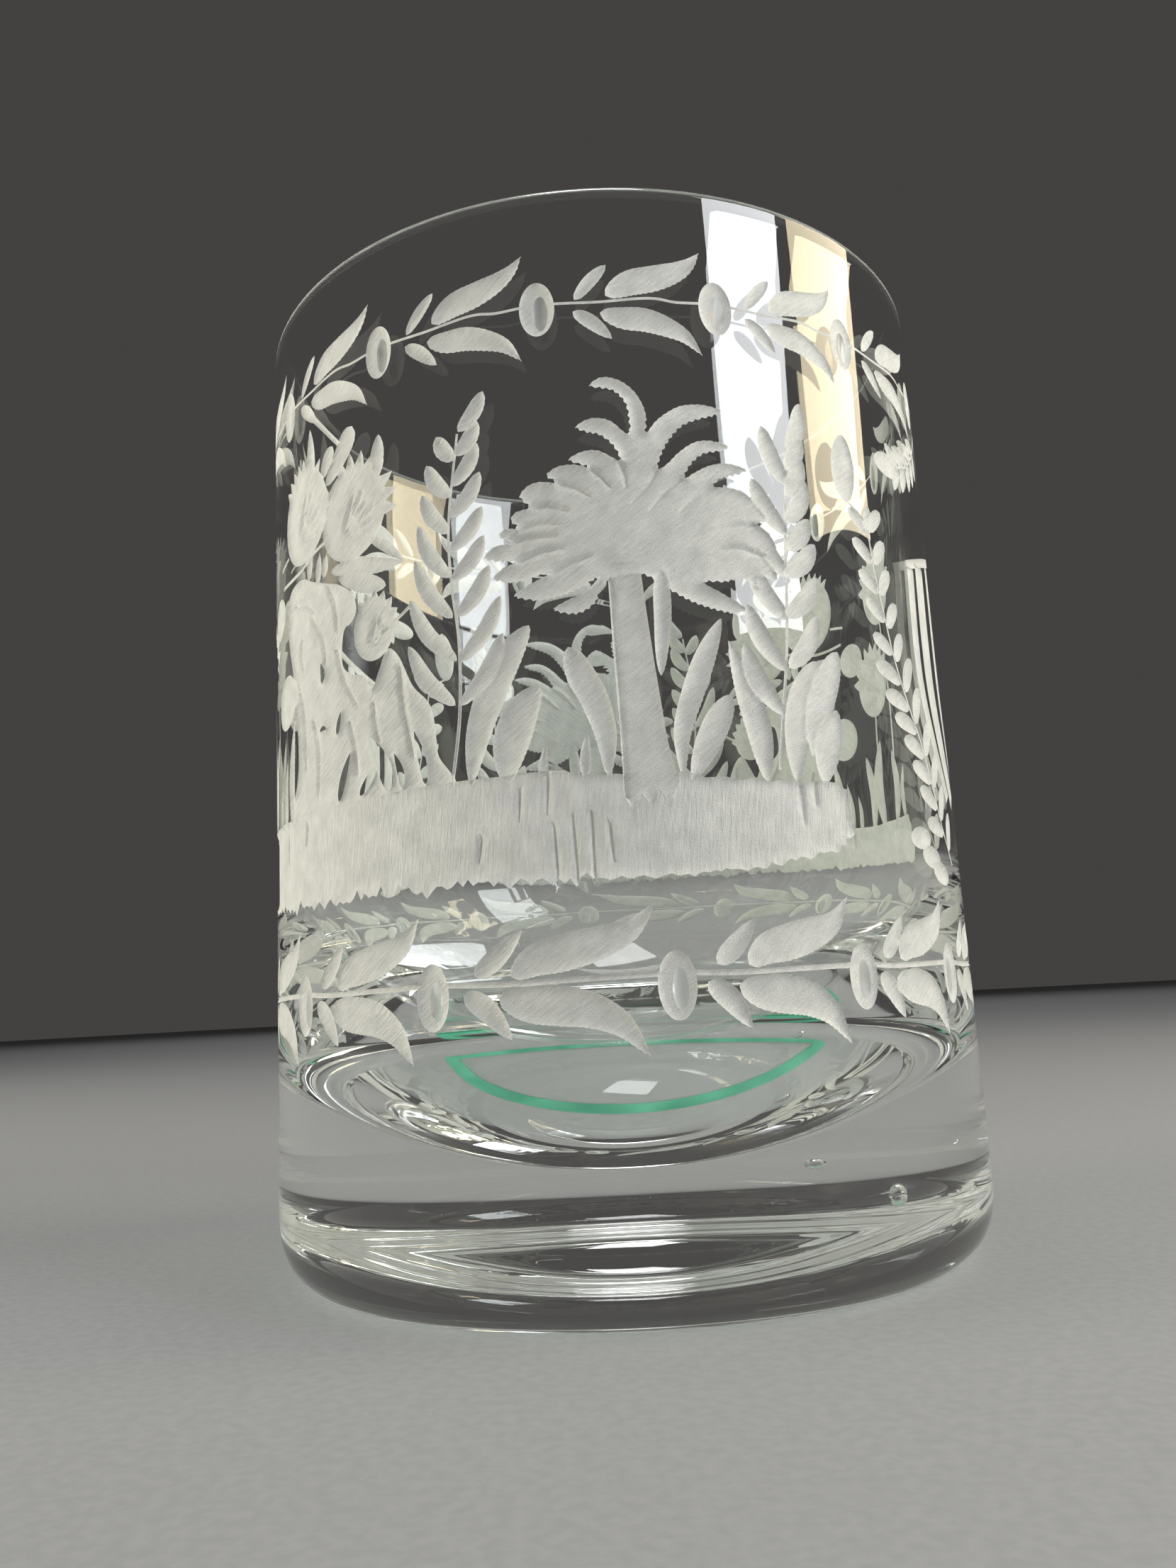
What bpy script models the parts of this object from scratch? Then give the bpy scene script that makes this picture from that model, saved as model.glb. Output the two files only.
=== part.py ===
"""Whiskey tumbler: one piece of clear glass with a heavy, round-cornered base.

The glass stands on its foot at the world origin, +Z up, in metres. It is a body of
revolution, so the whole shape is one profile, turned about Z by a Screw modifier.
"""

import math

import bpy

MM = 0.001

# ---- driving dimensions, in millimetres ----
HEIGHT = 106.0
RIM_RADIUS = 39.2           # outside, at the top of the wall
BASE_RADIUS = 39.4          # outside, just above the heel
WALL = 2.0                  # thickness at the lip
HEEL_RADIUS = 4.0           # how far the heel's rounding comes in under the wall
HEEL_HEIGHT = 7.0           # how far up the wall that rounding reaches
FLOOR_HEIGHT = 10.5         # glass under the middle of the cup
BOWL_HEIGHT = 43.0          # where the straight inner wall begins
BOWL_RADIUS = 36.8          # inside radius at that height

# ---- how finely the round shape is divided ----
SEGMENTS = 96
BOWL_STEPS = 14
WALL_STEPS = 3
LIP_STEPS = 6
HEEL_STEPS = 6

GLASS_COLOUR = (0.86, 0.90, 0.89, 1.0)
GLASS_ROUGHNESS = 0.03
GLASS_IOR = 1.52


def bowl_points():
    """The cup's round bottom, a quarter of an ellipse from its middle out to the straight wall."""
    depth = BOWL_HEIGHT - FLOOR_HEIGHT
    points = []
    for step in range(BOWL_STEPS + 1):
        turn = math.pi / 2 * step / BOWL_STEPS
        points.append((BOWL_RADIUS * math.sin(turn), BOWL_HEIGHT - depth * math.cos(turn)))
    return points


def lip_points():
    """The fire-polished lip, a half round from the inner wall over to the outer one."""
    bead = WALL / 2
    centre = RIM_RADIUS - bead
    points = []
    for step in range(LIP_STEPS + 1):
        turn = math.pi * (1 - step / LIP_STEPS)
        points.append((centre + bead * math.cos(turn), HEIGHT - bead + bead * math.sin(turn)))
    return points


def heel_points():
    """The rounded edge between the outer wall and the foot, a quarter of an ellipse."""
    points = []
    for step in range(HEEL_STEPS + 1):
        turn = math.pi / 2 * step / HEEL_STEPS
        radius = BASE_RADIUS - HEEL_RADIUS + HEEL_RADIUS * math.cos(turn)
        height = HEEL_HEIGHT - HEEL_HEIGHT * math.sin(turn)
        points.append((radius, height))
    return points


def between(start, end, steps):
    """The points that divide a straight stretch, without its two ends."""
    points = []
    for step in range(1, steps):
        share = step / steps
        points.append(tuple(a + (b - a) * share for a, b in zip(start, end)))
    return points


def tumbler_profile():
    """Radius and height, from the middle of the cup over the lip and down to the foot."""
    bowl = bowl_points()
    lip = lip_points()
    heel = heel_points()
    inner_wall = between(bowl[-1], lip[0], WALL_STEPS)
    outer_wall = between(lip[-1], heel[0], WALL_STEPS)
    foot_centre = [(0.0, 0.0)]
    return bowl + inner_wall + lip + outer_wall + heel + foot_centre


def glass_material():
    material = bpy.data.materials.new("clear_glass")
    material.use_nodes = True
    shader = material.node_tree.nodes["Principled BSDF"]
    shader.inputs["Base Color"].default_value = GLASS_COLOUR
    shader.inputs["Metallic"].default_value = 0.0
    shader.inputs["Roughness"].default_value = GLASS_ROUGHNESS
    shader.inputs["IOR"].default_value = GLASS_IOR
    shader.inputs["Transmission Weight"].default_value = 1.0
    return material


def turned_object(name, profile, material):
    """A solid of revolution about Z from a profile whose two ends lie on the axis."""
    vertices = [(radius * MM, 0.0, height * MM) for radius, height in profile]
    edges = [(index, index + 1) for index in range(len(vertices) - 1)]
    mesh = bpy.data.meshes.new(name)
    mesh.from_pydata(vertices, edges, [])
    mesh.materials.append(material)

    turned = bpy.data.objects.new(name, mesh)
    bpy.context.scene.collection.objects.link(turned)
    screw = turned.modifiers.new("turn", "SCREW")
    screw.axis = "Z"
    screw.angle = math.tau
    screw.steps = SEGMENTS
    screw.render_steps = SEGMENTS
    screw.use_smooth_shade = True
    screw.use_merge_vertices = True
    screw.merge_threshold = 0.00001
    return turned


def clear_scene():
    for old in list(bpy.data.objects):
        bpy.data.objects.remove(old, do_unlink=True)


def main():
    clear_scene()
    turned_object("tumbler_glass", tumbler_profile(), glass_material())


main()
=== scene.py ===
"""Looks of the whiskey tumbler: clear heavy-based glass with wheel-cut, frosted tropical scenes.

The outer wall is unrolled into a flat sheet, measured in millimetres: s runs round the wall,
with 0 facing the camera and rising to the right, and z is the height above the foot. Every cut
is an outline on that sheet. The sheet is triangulated with the outlines in it, sunk where it is
cut, rolled up and joined to the turned rest of the glass, so the glass stays one closed body.
The decoration is drawn once and stands twice round the glass, half a turn apart.
"""

import math
import random

import bmesh
import bpy
import numpy as np
from mathutils import Matrix, Vector, kdtree
from mathutils.geometry import delaunay_2d_cdt


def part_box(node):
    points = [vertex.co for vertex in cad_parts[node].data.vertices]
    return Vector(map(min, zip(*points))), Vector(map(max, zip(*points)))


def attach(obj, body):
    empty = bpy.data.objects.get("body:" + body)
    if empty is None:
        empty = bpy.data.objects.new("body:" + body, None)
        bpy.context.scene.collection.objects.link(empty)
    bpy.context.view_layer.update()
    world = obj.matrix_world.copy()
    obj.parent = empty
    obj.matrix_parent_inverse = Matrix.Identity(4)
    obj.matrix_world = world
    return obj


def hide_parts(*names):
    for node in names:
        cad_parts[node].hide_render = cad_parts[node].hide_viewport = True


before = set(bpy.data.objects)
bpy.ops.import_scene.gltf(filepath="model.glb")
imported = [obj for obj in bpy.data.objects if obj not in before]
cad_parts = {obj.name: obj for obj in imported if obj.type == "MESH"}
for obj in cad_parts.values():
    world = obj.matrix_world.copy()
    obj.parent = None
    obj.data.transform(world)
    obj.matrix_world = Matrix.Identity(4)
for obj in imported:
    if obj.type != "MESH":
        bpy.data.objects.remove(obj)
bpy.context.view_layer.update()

MM = 0.001

# ---- the glass, in millimetres: its outside from the CAD part's box, its inside as in the CAD ----
LOW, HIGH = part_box("tumbler_glass")
HEIGHT = (HIGH.z - LOW.z) / MM
BASE_RADIUS = (HIGH.x - LOW.x) / 2 / MM
RIM_RADIUS = BASE_RADIUS - 0.2
WALL = 2.0
HEEL_RADIUS = 4.0
HEEL_HEIGHT = 7.0
FLOOR_HEIGHT = 10.5
BOWL_HEIGHT = 43.0
BOWL_RADIUS = 36.8
GREEN_RADIUS = 33.8                 # the painted green reflection in the foot, where it runs round
GREEN_WIDTH = 2.8                   # where it crosses the foot
GREEN_ROUND_WIDTH = 0.98            # where it runs round
GREEN_LOW = 0.2
GREEN_HIGH = 0.3

# ---- the unrolled wall ----
WALL_RADIUS = (BASE_RADIUS + RIM_RADIUS) / 2
REPEAT = math.pi * WALL_RADIUS      # half the way round
SEAM = 62.0                         # s where one repeat ends and the next begins
SHEET_LOW = 9.0
SHEET_HIGH = 103.5
COLUMNS = 96                        # points along the sheet's two long edges

# ---- how finely the sheet is divided ----
CLEAR_STEP = 1.6
CUT_STEP = 0.5
OUTLINE_STEP = 0.35
INSET = 0.17                        # from an outline to the first row of points inside it
CUT_MARGIN = 0.2                    # kept free along the sheet's edges
CLEAR_MARGIN = 0.6
CLOSEST = 0.55                      # how near two points may come, as a share of the step
ROW = 0.866                         # from one row of points to the next, as a share of the step

# ---- how deep the wheel cut ----
LEAF_DEPTH = 0.30
GROUND_DEPTH = 0.24
GROOVE_DEPTH = 0.46
RING_DEPTH = 0.26
DISH_DEPTH = 0.55
RIDGE = 0.10                        # left standing where one cut meets the next
SLOPE = 0.26                        # how far from its edge a cut is two thirds deep

# The kinds of cut, and how deep each goes before grooves and dishes are sunk further.
FIRST_DEPTH = {
    "clear": 0.0, "leaf": LEAF_DEPTH, "ground": GROUND_DEPTH, "groove": GROUND_DEPTH,
    "ring": RING_DEPTH, "dish": RING_DEPTH,
}
KINDS = tuple(FIRST_DEPTH)


# ==== Outlines ====


def smooth(points, step=OUTLINE_STEP, closed=False):
    """Points every step along the smooth curve that passes through points."""
    pts = [Vector(p) for p in points]
    if closed:
        pts = [pts[-1], *pts, pts[0], pts[1]]
    else:
        pts = [pts[0] * 2 - pts[1], *pts, pts[-1] * 2 - pts[-2]]
    out = []
    for before, start, end, after in zip(pts, pts[1:], pts[2:], pts[3:]):
        count = max(1, round((end - start).length / step))
        for k in range(count):
            t = k / count
            out.append(0.5 * (
                2 * start + (end - before) * t
                + (2 * before - 5 * start + 4 * end - after) * t * t
                + (3 * start - before - 3 * end + after) * t * t * t
            ))
    if not closed:
        out.append(pts[-2].copy())
    return out


def across(spine, k):
    """The direction at right angles to a line at its k-th point, to the left of its run."""
    along = spine[min(k + 1, len(spine) - 1)] - spine[max(k - 1, 0)]
    return Vector((-along.y, along.x)).normalized()


def blade(middle, half_width, fullest=0.42, base=0.5, tip=0.9, teeth=0.04, pitch=0.6):
    """A leaf's outline round its mid-line.

    fullest is where along its length it is widest. base and tip say how its ends are shaped:
    0.5 is round and 1 is pointed. teeth is how deep its edge is notched, every pitch; only the
    edge that faces down has the full depth.
    """
    spine = smooth(middle, step=min(OUTLINE_STEP, pitch / 2))
    left, right = [], []
    for k, point in enumerate(spine):
        t = k / (len(spine) - 1)
        if t < fullest:
            width = (1 - (1 - t / fullest) ** 2) ** base
        else:
            width = (1 - ((t - fullest) / (1 - fullest)) ** 2) ** tip
        side = across(spine, k)
        notch = teeth if k % 2 else 0.0
        for edge, out in ((left, side), (right, -side)):
            cut_back = notch if out.y < 0 else notch * 0.35
            edge.append(point + out * max(width * half_width - cut_back, 0.03))
    return left + right[::-1]


def notched(outline, depth):
    """The same closed outline with every second point of its downward edges cut back."""
    out = []
    for k, point in enumerate(outline):
        along = outline[(k + 1) % len(outline)] - outline[k - 1]
        inward = Vector((along.y, -along.x)).normalized()
        out.append(point + inward * depth * (1.0 if inward.y > 0 else 0.3) * (k % 2))
    return out


def ribbon(points, width, end_width=None):
    """A stem's outline: a strip whose width may change along it."""
    spine = smooth(points, step=0.5)
    end_width = width if end_width is None else end_width
    left, right = [], []
    for k, point in enumerate(spine):
        half = across(spine, k) * (width + (end_width - width) * k / (len(spine) - 1)) / 2
        left.append(point + half)
        right.append(point - half)
    return left + right[::-1]


def oval(centre, half_width, half_height, turn=0.0):
    count = max(12, round(math.tau * max(half_width, half_height) / OUTLINE_STEP))
    out = []
    for k in range(count):
        a = math.tau * k / count
        point = Vector((half_width * math.cos(a), half_height * math.sin(a)))
        out.append(Vector(centre) + Matrix.Rotation(turn, 2) @ point)
    return out


def jagged(start, end, reach, pitch, rng):
    """Points of a torn edge from start up to end, off the straight line by up to reach."""
    start, end = Vector(start), Vector(end)
    along = end - start
    side = Vector((-along.y, along.x)).normalized()
    count = max(1, round(along.length / pitch))
    out = [start]
    for k in range(1, count):
        swing = reach * (rng.random() - 0.5) * (2.0 if k % 2 else 0.7)
        out.append(start + along * (k / count) + side * swing)
    return out


# ==== Motifs ====
# Each adds (kind, outline) pairs to the list of cuts. A later one covers an earlier one, so
# "clear" leaves a patch of polished glass standing inside a cut.

cuts = []


def cut(kind, outline):
    cuts.append((kind, outline))


def leaf(middle, half_width, **shape):
    cut("leaf", blade(middle, half_width, **shape))


def stalk(points, width, end_width=None):
    cut("leaf", ribbon(points, width, end_width))


def groove(middle, width):
    cut("groove", blade(middle, width / 2, teeth=0.0))


def bead(s, z, half_height):
    """A ground oval with a softly polished hollow in it."""
    cut("ring", oval((s, z), 1.72, half_height))
    cut("dish", oval((s + 0.3, z - 0.35), 0.72, 1.8))


# Where the garlands' beads stand, and the span between two beads that the leaves are drawn for.
UPPER_SPAN = 17.6
UPPER_BEADS = (-57.4, -39.8, -22.2, -4.6, 12.9, 28.8, 46.6)


def upper_garland():
    """A stem with beads. After each bead come a short and a long leaf on either side."""
    for s, after in zip(UPPER_BEADS, UPPER_BEADS[1:] + (UPPER_BEADS[0] + REPEAT,)):
        stretch = (after - s) / UPPER_SPAN

        def at(*points):
            return [(s + x * stretch, z) for x, z in points]

        bead(s, 93.1, 2.8)
        stem = ((1.5, 93.5), (6.0, 93.35), (11.0, 93.7), (13.5, 93.4), (16.1, 93.5))
        stalk(at(*stem), 0.28)
        leaf(at((3.7, 93.7), (5.2, 95.5), (6.9, 97.2)), 0.68, fullest=0.5, tip=0.6)
        leaf(at((3.5, 92.5), (5.2, 91.3), (7.1, 89.5)), 0.75, fullest=0.4, tip=0.7)
        long_up = ((6.7, 94.0), (9.0, 95.2), (11.5, 95.8), (13.7, 96.6), (15.2, 97.6), (16.3, 98.9))
        leaf(at(*long_up), 1.42, fullest=0.36, tip=0.95, teeth=0.09)
        long_low = ((6.1, 92.2), (8.2, 91.6), (10.3, 91.4), (12.3, 90.8), (14.3, 89.8), (15.9, 88.0))
        leaf(at(*long_low), 1.28, fullest=0.34, tip=0.95, teeth=0.09)


LOWER_SPAN = 20.0
LOWER_BEADS = (-53.4, -36.4, -17.5, 4.8, 23.4, 38.6, 54.1)


def lower_garland():
    """The same plant as the upper garland, cut larger, with a thicker stem."""
    for s, after in zip(LOWER_BEADS, LOWER_BEADS[1:] + (LOWER_BEADS[0] + REPEAT,)):
        stretch = (after - s) / LOWER_SPAN

        def at(*points):
            return [(s + x * stretch, z) for x, z in points]

        stalk(at((1.0, 29.8), (6.0, 29.6), (13.0, 29.7), (19.0, 29.8)), 0.5)
        bead(s, 28.75, 3.0)
        leaf(at((3.9, 30.4), (5.9, 32.0), (8.0, 34.2)), 0.95, fullest=0.35, tip=0.8)
        leaf(at((2.9, 28.9), (4.9, 27.4), (6.9, 24.8)), 1.05, fullest=0.35, tip=0.8)
        long_up = ((7.0, 30.2), (9.0, 31.5), (11.6, 32.1), (14.0, 32.7), (16.6, 33.7), (18.6, 35.9))
        leaf(at(*long_up), 1.65, fullest=0.38, tip=0.95, teeth=0.07)
        long_low = ((5.9, 28.4), (8.2, 27.8), (10.8, 27.5), (13.2, 27.0), (15.6, 25.6), (17.6, 22.9))
        leaf(at(*long_low), 1.75, fullest=0.34, tip=0.95, teeth=0.07)


GROUND_LEFT = -60.0

# The torn edge of the ground, clockwise from its left end: where each stretch starts, how far
# the edge strays, and the distance between its teeth.
GROUND_EDGE = (
    ((GROUND_LEFT, 44.0), 0.3, 0.8), ((GROUND_LEFT + 1.5, 48.0), 0.1, 1.4),
    ((-40.0, 47.9), 0.15, 1.5), ((-4.0, 48.1), 0.15, 0.8), ((-3.2, 47.6), 0.15, 0.9),
    ((6.0, 47.4), 0.2, 0.9), ((12.0, 46.6), 0.2, 0.9), ((22.3, 46.6), 0.2, 0.6),
    ((23.4, 46.0), 0.25, 0.6), ((23.6, 44.0), 0.4, 0.5), ((24.0, 42.0), 0.5, 0.5),
    ((21.9, 40.2), 0.5, 0.5), ((17.8, 39.6), 0.35, 0.5), ((13.3, 38.6), 0.3, 0.5),
    ((4.0, 38.2), 0.25, 0.5), ((-2.0, 38.3), 0.7, 0.5), ((-14.0, 38.4), 0.85, 0.55),
    ((-44.0, 38.7), 0.5, 0.6), ((GROUND_LEFT + 1.0, 39.6), 0.4, 0.8),
)

# The strokes of the wheel down the ground: where each starts, and how long it is.
GROUND_GROOVES = (
    (-42.0, 46.6, 2.8), (-36.2, 46.9, 2.0), (-12.3, 42.6, 1.8), (-8.4, 46.8, 2.6),
    (-5.7, 49.6, 5.2), (-5.2, 43.2, 5.4), (-3.45, 44.0, 6.2), (-1.85, 44.2, 6.0),
    (-0.2, 43.0, 3.0), (18.2, 46.2, 3.4), (19.8, 46.6, 2.2),
)


def ground():
    """The strip of ground that the plants stand on."""
    rng = random.Random(11)
    outline = []
    for (start, reach, pitch), (end, _, _) in zip(GROUND_EDGE, GROUND_EDGE[1:] + GROUND_EDGE[:1]):
        outline += jagged(start, end, reach, pitch, rng)
    cut("ground", outline)
    for s, top, length in GROUND_GROOVES:
        lean = rng.uniform(-0.2, 0.2)
        groove(((s + lean, top), (s, top - length / 2), (s - lean, top - length)), 0.2)


# The palm's crown, clockwise. Each row is one frond: its upper edge, its tip, its lower edge
# and the notch before the next frond.
CROWN = (
    ((3.5, 81.6), (3.2, 83.0), (2.2, 84.1), (1.0, 84.4), (0.0, 84.7), (0.7, 85.4), (1.7, 85.6),
     (3.1, 85.1), (4.3, 84.0), (5.1, 82.4), (5.3, 80.9), (5.2, 79.9)),
    ((6.0, 80.9), (7.2, 81.9), (8.8, 82.7), (11.0, 82.9), (12.8, 82.4), (12.0, 81.8),
     (10.4, 81.3), (8.8, 80.6), (7.6, 79.4), (6.7, 78.0), (6.1, 76.3)),
    ((7.0, 76.8), (8.1, 77.9), (9.7, 79.0), (11.4, 79.3), (13.3, 78.8), (12.2, 78.2),
     (10.6, 77.8), (9.3, 76.7), (8.6, 75.4)),
    ((9.6, 76.0), (11.2, 76.8), (13.0, 77.1), (14.9, 76.6), (13.7, 75.9), (12.3, 75.5),
     (11.5, 74.7)),
    ((13.4, 74.6), (15.2, 73.8), (16.8, 71.9), (15.8, 71.2)),
    ((16.8, 70.4), (17.5, 68.8), (16.1, 68.2)),
    ((17.0, 67.2), (17.2, 65.7), (15.3, 66.0)),
    ((15.2, 64.9), (13.6, 65.6), (11.8, 65.2), (9.8, 65.1)),
    ((11.4, 64.2), (13.8, 62.7), (12.4, 62.2), (10.5, 62.5), (8.4, 63.2), (6.6, 64.2),
     (3.8, 65.9), (0.7, 65.4)),
    ((-0.5, 63.3), (-2.3, 62.4), (-4.4, 63.0), (-3.2, 63.8), (-1.5, 64.5), (-0.2, 65.7)),
    ((-1.6, 64.9), (-3.6, 64.2), (-5.8, 64.0), (-8.0, 64.7), (-6.8, 65.6), (-4.6, 66.5)),
    ((-6.2, 66.2), (-8.0, 66.0), (-10.0, 66.6), (-9.0, 67.6), (-7.8, 68.0)),
    ((-9.3, 68.2), (-10.8, 68.8), (-9.8, 69.8), (-8.2, 70.0)),
    ((-9.3, 70.7), (-8.6, 71.4), (-7.4, 71.3)),
    ((-8.1, 72.1), (-7.5, 72.9), (-6.3, 73.2)),
    ((-7.1, 74.3), (-6.3, 75.3), (-5.1, 75.6), (-3.7, 75.4)),
    ((-4.5, 76.1), (-3.4, 76.9), (-1.8, 77.0), (-0.5, 76.6)),
    ((-2.3, 77.4), (-1.0, 78.2), (0.6, 78.2), (2.4, 77.2)),
    ((1.9, 78.6), (0.7, 79.7), (-0.4, 80.0), (-1.5, 80.6), (-0.6, 81.3), (0.5, 81.5),
     (1.9, 81.1), (3.4, 79.8)),
)

# Creases between the fronds, each from the edge of the crown inward.
CREASES = (
    ((6.1, 76.3), (5.0, 74.6), (3.4, 73.0)), ((8.6, 75.4), (7.0, 74.4), (5.2, 72.4)),
    ((11.5, 74.7), (9.8, 73.8), (8.0, 72.2)), ((15.8, 71.2), (13.4, 71.0), (11.0, 70.2)),
    ((16.1, 68.2), (13.8, 68.8), (11.8, 68.6)), ((-4.6, 66.5), (-2.8, 67.4), (-0.8, 68.0)),
    ((-7.8, 68.0), (-5.6, 68.7), (-3.4, 69.0)), ((-8.2, 70.0), (-6.0, 70.3), (-3.8, 70.2)),
    ((-7.4, 71.3), (-5.4, 71.6), (-3.6, 71.4)), ((-6.3, 73.2), (-4.4, 73.2), (-2.6, 72.6)),
    ((-3.7, 75.4), (-2.0, 74.9), (-0.6, 74.0)), ((-0.5, 76.6), (0.6, 75.8), (1.4, 74.8)),
    ((2.4, 77.2), (2.9, 76.0), (3.0, 74.8)),
)


def palm():
    """The palm: a trunk that flares down to a torn foot, and a crown notched underneath."""
    left = ((0.75, 67.0), (0.9, 60.0), (1.05, 54.0), (1.1, 50.0), (1.15, 45.4))
    right = ((6.2, 46.6), (5.4, 49.8), (4.9, 54.2), (4.4, 59.2), (3.75, 67.0))
    foot = [Vector(p) for p in ((2.0, 43.9), (2.7, 45.7), (3.6, 44.2), (4.3, 46.0), (5.2, 44.8))]
    cut("leaf", smooth(left, 0.5) + foot + smooth(right, 0.5))
    groove([(s + 0.12, z) for s, z in left], 0.3)
    edge = [point for frond in CROWN for point in frond]
    cut("leaf", notched(smooth(edge, step=0.32, closed=True), 0.2))
    for crease in CREASES:
        groove(crease, 0.3)
    leaf(((5.7, 66.6), (5.6, 62.0), (5.3, 58.6), (5.1, 56.3)), 0.85, fullest=0.3, tip=0.6)


def side_leaves(spine, places, length, lean, half_width, sides=(-1, 1), **shape):
    """Leaves at the given shares of a stem's length. lean is their angle from the stem."""
    for t in places:
        k = min(round(t * (len(spine) - 1)), len(spine) - 1)
        along = -across(spine, k).orthogonal()
        for side in sides:
            out = Matrix.Rotation(side * lean, 2) @ along
            bow = Vector((-out.y, out.x)) * side * length * 0.05
            base = spine[k] + out * 0.3
            middle = (base, base + out * length * 0.5 - bow, base + out * length)
            leaf(middle, half_width, **shape)


def shares(first, last, count):
    return [first + (last - first) * k / (count - 1) for k in range(count)]


# The ferns' leaves: where each starts and its tip.
FERN_LEFT = (
    ((-14.2, 55.2), (-19.2, 61.7)), ((-13.9, 59.4), (-18.9, 66.2)), ((-14.2, 63.6), (-18.2, 70.0)),
    ((-14.4, 67.6), (-17.7, 73.4)), ((-14.3, 72.0), (-17.2, 76.4)), ((-14.0, 75.6), (-16.6, 79.3)),
    ((-13.5, 79.2), (-15.4, 82.0)), ((-13.6, 55.1), (-9.2, 61.4)), ((-13.6, 59.2), (-9.3, 65.0)),
    ((-13.7, 63.6), (-10.3, 68.1)), ((-14.1, 67.2), (-10.7, 71.1)), ((-14.2, 70.2), (-10.8, 74.0)),
    ((-14.1, 73.5), (-10.9, 77.5)), ((-13.8, 76.6), (-11.1, 80.5)), ((-13.3, 79.6), (-11.0, 82.7)),
    ((-13.0, 82.0), (-10.3, 85.6)),
)
FERN_RIGHT = (
    ((16.8, 52.8), (13.2, 59.4)), ((17.5, 57.0), (13.8, 63.2)), ((18.1, 62.0), (14.3, 67.6)),
    ((18.5, 66.4), (14.9, 71.6)), ((18.8, 70.6), (15.3, 75.8)), ((19.4, 75.6), (16.9, 81.4)),
    ((17.8, 57.3), (21.6, 62.7)), ((18.0, 62.3), (22.0, 66.6)), ((18.2, 66.4), (22.1, 70.0)),
    ((18.5, 69.1), (21.6, 72.5)), ((18.9, 71.8), (21.6, 76.4)), ((19.1, 74.5), (21.2, 78.9)),
    ((19.4, 77.3), (21.2, 81.4)), ((19.7, 79.3), (21.7, 84.6)),
)


def fern(stem, leaves, half_width):
    """An upright fern, whose leaves are bowed outward on both sides of its stem."""
    stalk(stem, 0.36, 0.26)
    for base, tip in leaves:
        base, tip = Vector(base), Vector(tip)
        out = tip - base
        bow = Vector((out.y, -out.x)) * (0.08 if out.x > 0 else -0.08)
        leaf((base, base + out * 0.5 + bow, tip), half_width, fullest=0.52, tip=0.6)


def ferns():
    left = ((-14.8, 47.6), (-13.8, 54.0), (-13.6, 61.0), (-14.2, 67.0), (-14.3, 73.0), (-13.1, 81.8))
    right = ((15.9, 47.6), (16.7, 52.8), (17.7, 59.2), (18.3, 66.0), (18.8, 73.0), (19.6, 79.0))
    fern(left, FERN_LEFT, 0.88)
    fern(right, FERN_RIGHT, 1.05)


# The low leaves round the palm's foot: mid-line, half width, where widest, shape of the tip.
LOW_LEAVES = (
    (((-12.9, 47.4), (-12.0, 52.0), (-10.5, 56.0), (-8.7, 59.2), (-6.7, 61.8)), 1.55, 0.62, 0.6),
    (((-9.5, 47.2), (-8.9, 50.8), (-7.8, 53.6), (-6.0, 56.0)), 1.8, 0.5, 0.6),
    (((-6.2, 47.4), (-5.9, 49.0), (-5.6, 50.7)), 0.45, 0.3, 0.9),
    (((-2.2, 47.2), (-2.1, 49.4), (-1.8, 51.5)), 0.55, 0.3, 0.9),
    (((-0.1, 47.0), (-0.2, 51.0), (-1.0, 54.2), (-2.2, 56.8), (-3.2, 59.4)), 1.35, 0.74, 0.5),
    (((6.5, 46.8), (6.7, 51.0), (7.9, 54.6), (9.3, 58.0), (11.1, 61.7)), 1.1, 0.62, 0.7),
    (((7.3, 46.6), (8.8, 49.6), (10.2, 52.2), (11.6, 54.5)), 1.3, 0.6, 0.6),
    (((14.5, 46.4), (14.1, 51.0), (13.1, 55.0), (11.7, 59.6)), 1.35, 0.42, 0.8),
    (((17.6, 46.4), (18.0, 50.6), (19.1, 54.6), (21.2, 58.2)), 1.6, 0.62, 0.55),
    (((19.6, 49.0), (20.8, 53.2), (22.2, 56.4), (23.8, 59.4)), 1.55, 0.6, 0.55),
    (((20.7, 46.4), (21.4, 49.4), (22.2, 51.6), (23.0, 53.6)), 1.55, 0.5, 0.6),
    (((-39.8, 46.8), (-39.9, 52.6), (-38.9, 58.4)), 0.95, 0.4, 0.9),
    (((-41.9, 46.8), (-42.0, 51.0), (-41.4, 54.6)), 0.7, 0.4, 0.9),
    (((-44.0, 46.8), (-44.2, 50.0), (-43.8, 52.6)), 0.5, 0.4, 0.9),
    (((-47.2, 46.8), (-47.8, 52.0), (-46.6, 57.5)), 1.0, 0.5, 0.7),
    (((-50.4, 46.8), (-49.4, 53.0), (-50.8, 59.0)), 1.3, 0.5, 0.7),
    (((-54.0, 46.8), (-55.2, 52.0), (-54.2, 57.0)), 1.1, 0.5, 0.7),
    (((-57.6, 46.8), (-57.0, 51.0), (-58.2, 54.5)), 0.8, 0.5, 0.7),
)


def low_leaves():
    for middle, half_width, fullest, tip in LOW_LEAVES:
        leaf(middle, half_width, fullest=fullest, base=0.7, tip=tip, teeth=0.07)


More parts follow.
